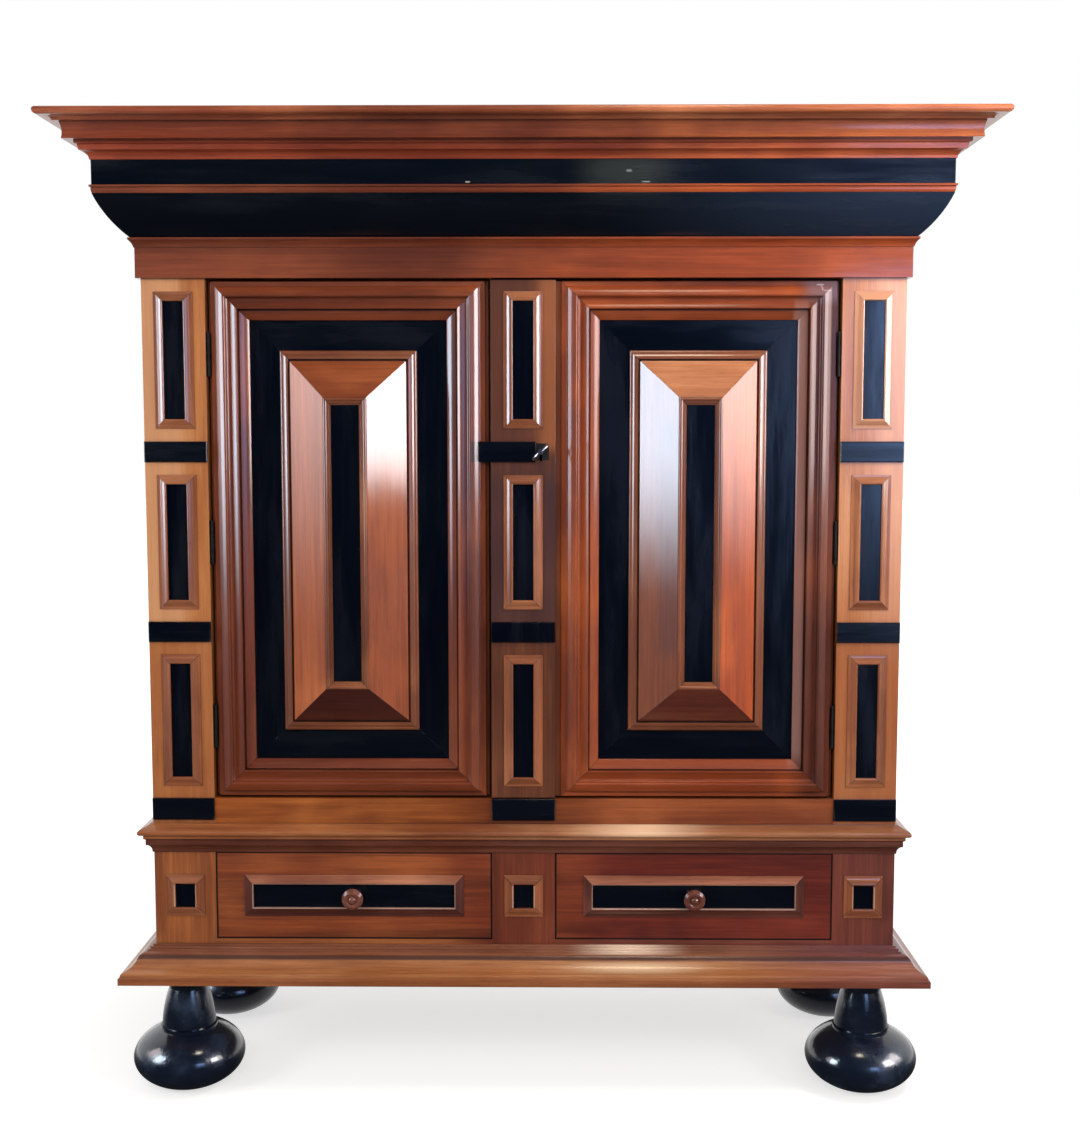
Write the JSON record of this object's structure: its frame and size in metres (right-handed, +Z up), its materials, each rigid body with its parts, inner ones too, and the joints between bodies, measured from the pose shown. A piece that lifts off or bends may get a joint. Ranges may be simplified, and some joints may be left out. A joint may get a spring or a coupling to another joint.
{
  "type": "kas cupboard",
  "caption": "Wide wooden cupboard on ball feet with raised pyramid doors, ebony strips on pilasters, drawers below and a deep cornice; doors, drawers, key and bolts move.",
  "frame": {"origin": "on the floor, under the middle of the whole cupboard with its cornice", "axes": "+X to the right seen from the front, +Y from the front to the back, +Z up"},
  "size_m": [1.876, 0.738, 2.0285],
  "materials": {
    "black_wood": "gloss black",
    "ebony": "polished",
    "walnut_case": "polished varnish",
    "walnut_pilaster": "polished varnish",
    "walnut_door": "polished varnish",
    "walnut_facet": "polished varnish",
    "walnut_drawer": "polished varnish",
    "knob_wood": "turned and polished",
    "oak": "plain",
    "iron": "dark",
    "bright_iron": "worn bright"
  },
  "bodies": {
    "cupboard": {"foot_front_left": "black_wood", "foot_front_right": "black_wood", "foot_rear_left": "black_wood", "foot_rear_right": "black_wood", "base_floor": "oak", "base_case": "oak", "base_front_frame": "walnut_pilaster", "drawer_runners": "oak", "plinth_moulding": "walnut_case", "waist_moulding": "walnut_case", "post_left": "walnut_pilaster", "post_right": "walnut_pilaster", "door_surround": "walnut_case", "cupboard_sides": "walnut_case", "carcase_boards": "oak", "back_boards": "oak", "shelves": "oak", "ebony_insets": "ebony", "inset_frames": "walnut_pilaster", "ebony_bands": "ebony", "architrave": "walnut_case", "frieze_ebony": "ebony", "frieze_bead": "walnut_case", "crown_moulding": "walnut_case", "cornice_frame": "walnut_case", "top_boards": "oak", "hinge_plates": "iron"},
    "right_door": {"door_right_frame": "walnut_door", "door_right_moulding": "walnut_door", "door_right_ebony": "ebony", "door_right_inner_moulding": "walnut_door", "door_right_facets": "walnut_facet", "hinge_straps_right": "iron", "centre_pilaster": "walnut_pilaster", "centre_pilaster_frames": "walnut_pilaster", "centre_pilaster_ebony": "ebony", "lock_case": "iron"},
    "left_door": {"door_left_frame": "walnut_door", "door_left_moulding": "walnut_door", "door_left_ebony": "ebony", "door_left_inner_moulding": "walnut_door", "door_left_facets": "walnut_facet", "hinge_straps_left": "iron", "left_door_irons": "iron"},
    "left_drawer": {"drawer_left_front": "walnut_drawer", "drawer_left_box": "oak", "drawer_left_inset": "ebony", "drawer_left_frame": "walnut_drawer", "drawer_left_knob": "knob_wood"},
    "right_drawer": {"drawer_right_front": "walnut_drawer", "drawer_right_box": "oak", "drawer_right_inset": "ebony", "drawer_right_frame": "walnut_drawer", "drawer_right_knob": "knob_wood"},
    "slider": {"keyhole_slider": "ebony"},
    "lock_key": {"key": "bright_iron"},
    "bolt_of_lock": {"lock_bolt": "iron"},
    "upper_bolt": {"top_bolt": "iron"},
    "lower_bolt": {"bottom_bolt": "iron"}
  },
  "joints": [
    {"name": "right_door_swing", "type": "hinge", "parent": "cupboard", "child": "right_door", "pos_m": [0.645, -0.205, 1.178], "axis": [0, 0, 1], "range_deg": [0, 110]},
    {"name": "left_door_swing", "type": "hinge", "parent": "cupboard", "child": "left_door", "pos_m": [-0.645, -0.205, 1.178], "axis": [0, 0, -1], "range_deg": [0, 110]},
    {"name": "left_drawer_slide", "type": "slide", "parent": "cupboard", "child": "left_drawer", "axis": [0, -1, 0], "range_m": [0, 0.4]},
    {"name": "right_drawer_slide", "type": "slide", "parent": "cupboard", "child": "right_drawer", "axis": [0, -1, 0], "range_m": [0, 0.4]},
    {"name": "keyhole_slider_slide", "type": "slide", "parent": "right_door", "child": "slider", "axis": [1, 0, 0], "range_m": [0, 0.0045]},
    {"name": "key_turn", "type": "hinge", "parent": "right_door", "child": "lock_key", "pos_m": [0.0365, -0.211, 1.36567], "axis": [0, -1, 0], "range_deg": [0, 270]},
    {"name": "lock_bolt_slide", "type": "slide", "parent": "right_door", "child": "bolt_of_lock", "axis": [-1, 0, 0], "range_m": [0, 0.024]},
    {"name": "top_bolt_slide", "type": "slide", "parent": "left_door", "child": "upper_bolt", "axis": [0, 0, 1], "range_m": [0, 0.03]},
    {"name": "bottom_bolt_slide", "type": "slide", "parent": "left_door", "child": "lower_bolt", "axis": [0, 0, -1], "range_m": [0, 0.03]}
  ],
  "couplings": [
    {"joint": "left_door_swing", "follows": "right_door_swing", "ratio": 1},
    {"joint": "key_turn", "follows": "lock_bolt_slide", "rad_per_m": 196.34}
  ]
}
